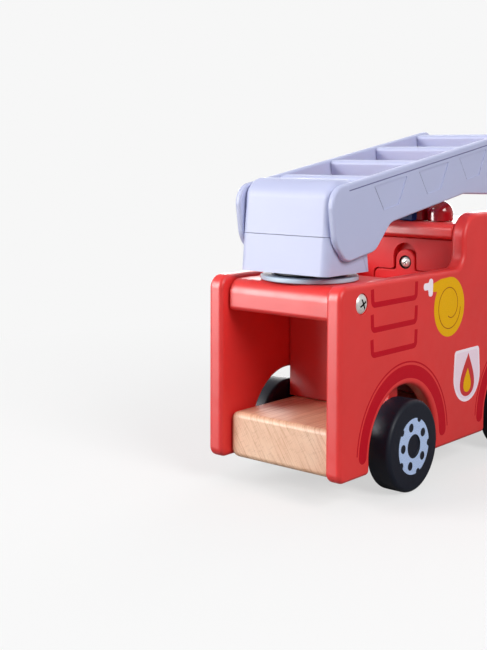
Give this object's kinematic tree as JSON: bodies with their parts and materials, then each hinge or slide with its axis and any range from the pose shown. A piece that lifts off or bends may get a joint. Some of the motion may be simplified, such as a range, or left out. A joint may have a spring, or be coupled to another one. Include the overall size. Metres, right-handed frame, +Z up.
{
  "type": "toy fire engine",
  "caption": "Wooden toy fire engine: two side panels on a floor block, open rear bay, cab with beacons, turning wheels, and a plastic ladder that turns, tilts and extends.",
  "frame": {"origin": "on the ground under the middle of the overall length and width", "axes": "+Z up, front towards -Y, rear towards +Y, the vehicle's left towards +X"},
  "size_m": [0.0946, 0.242, 0.1887],
  "materials": {
    "red_painted_wood": "satin paint over solid wood, rounded edges",
    "natural_beech": "bare sanded beech with fine end grain",
    "lilac_plastic": "moulded plastic, soft gloss, pale blue-lilac",
    "navy_painted_wood": "satin navy-black paint, pale hub print on the wheels",
    "dark_red_gloss": "gloss dark red lacquer",
    "cream_paint": "satin cream paint",
    "zinc_steel": "bright zinc-plated steel"
  },
  "bodies": {
    "root": {"side_panel_left": "red_painted_wood", "side_panel_right": "red_painted_wood", "floor_block": "natural_beech", "rear_dowel_left": "natural_beech", "rear_dowel_right": "natural_beech", "middle_dowel_left": "natural_beech", "middle_dowel_right": "natural_beech", "rear_deck": "red_painted_wood", "bay_wall": "red_painted_wood", "well_floor": "red_painted_wood", "well_wall": "red_painted_wood", "cab_rear_wall": "red_painted_wood", "wall_bracket": "red_painted_wood", "bracket_screw": "zinc_steel", "cab_roof": "red_painted_wood", "cab_nose": "red_painted_wood", "beacon_right": "dark_red_gloss", "beacon_middle": "dark_red_gloss", "beacon_left": "dark_red_gloss", "headlight_right": "cream_paint", "headlight_left": "cream_paint", "ladder_rest": "navy_painted_wood", "driver_seat": "natural_beech", "front_bumper": "lilac_plastic", "deck_screw_left": "zinc_steel", "deck_screw_right": "zinc_steel", "roof_screw_left": "zinc_steel", "roof_screw_right": "zinc_steel", "turntable_disc": "lilac_plastic"},
    "rear_axle_set": {"rear_axle": "zinc_steel", "rear_wheel_left": "navy_painted_wood", "rear_wheel_right": "navy_painted_wood"},
    "front_axle_set": {"front_axle": "zinc_steel", "front_wheel_left": "navy_painted_wood", "front_wheel_right": "navy_painted_wood"},
    "turret": {"turret_base": "lilac_plastic", "turret_cap": "lilac_plastic", "turret_bearing": "navy_painted_wood", "turret_washer": "zinc_steel", "turret_bolt": "zinc_steel"},
    "ladder": {"ladder_rail_left": "lilac_plastic", "ladder_rail_right": "lilac_plastic", "ladder_rung_1": "lilac_plastic", "ladder_rung_2": "lilac_plastic", "ladder_rung_3": "lilac_plastic", "ladder_rung_4": "lilac_plastic", "ladder_pivot_pin": "zinc_steel"},
    "extension": {"extension_rail_left": "lilac_plastic", "extension_rail_right": "lilac_plastic", "extension_rung_1": "lilac_plastic", "extension_rung_2": "lilac_plastic", "extension_rung_3": "lilac_plastic", "extension_rung_4": "lilac_plastic"}
  },
  "joints": [
    {"name": "rear_axle_spin", "type": "hinge", "parent": "root", "child": "rear_axle_set", "pos_m": [0, 0.061, 0.0242], "axis": [1, 0, 0], "continuous": true},
    {"name": "front_axle_spin", "type": "hinge", "parent": "root", "child": "front_axle_set", "pos_m": [0, -0.059, 0.0242], "axis": [1, 0, 0], "continuous": true},
    {"name": "turret_turn", "type": "hinge", "parent": "root", "child": "turret", "pos_m": [0, 0.0885, 0.1127], "axis": [0, 0, 1], "continuous": true},
    {"name": "ladder_tilt", "type": "hinge", "parent": "turret", "child": "ladder", "pos_m": [0, 0.094, 0.1457], "axis": [-1, 0, 0], "range_deg": [0, 55]},
    {"name": "ladder_extend", "type": "slide", "parent": "ladder", "child": "extension", "axis": [0, -0.9877, 0.1564], "range_m": [0, 0.095]}
  ]
}
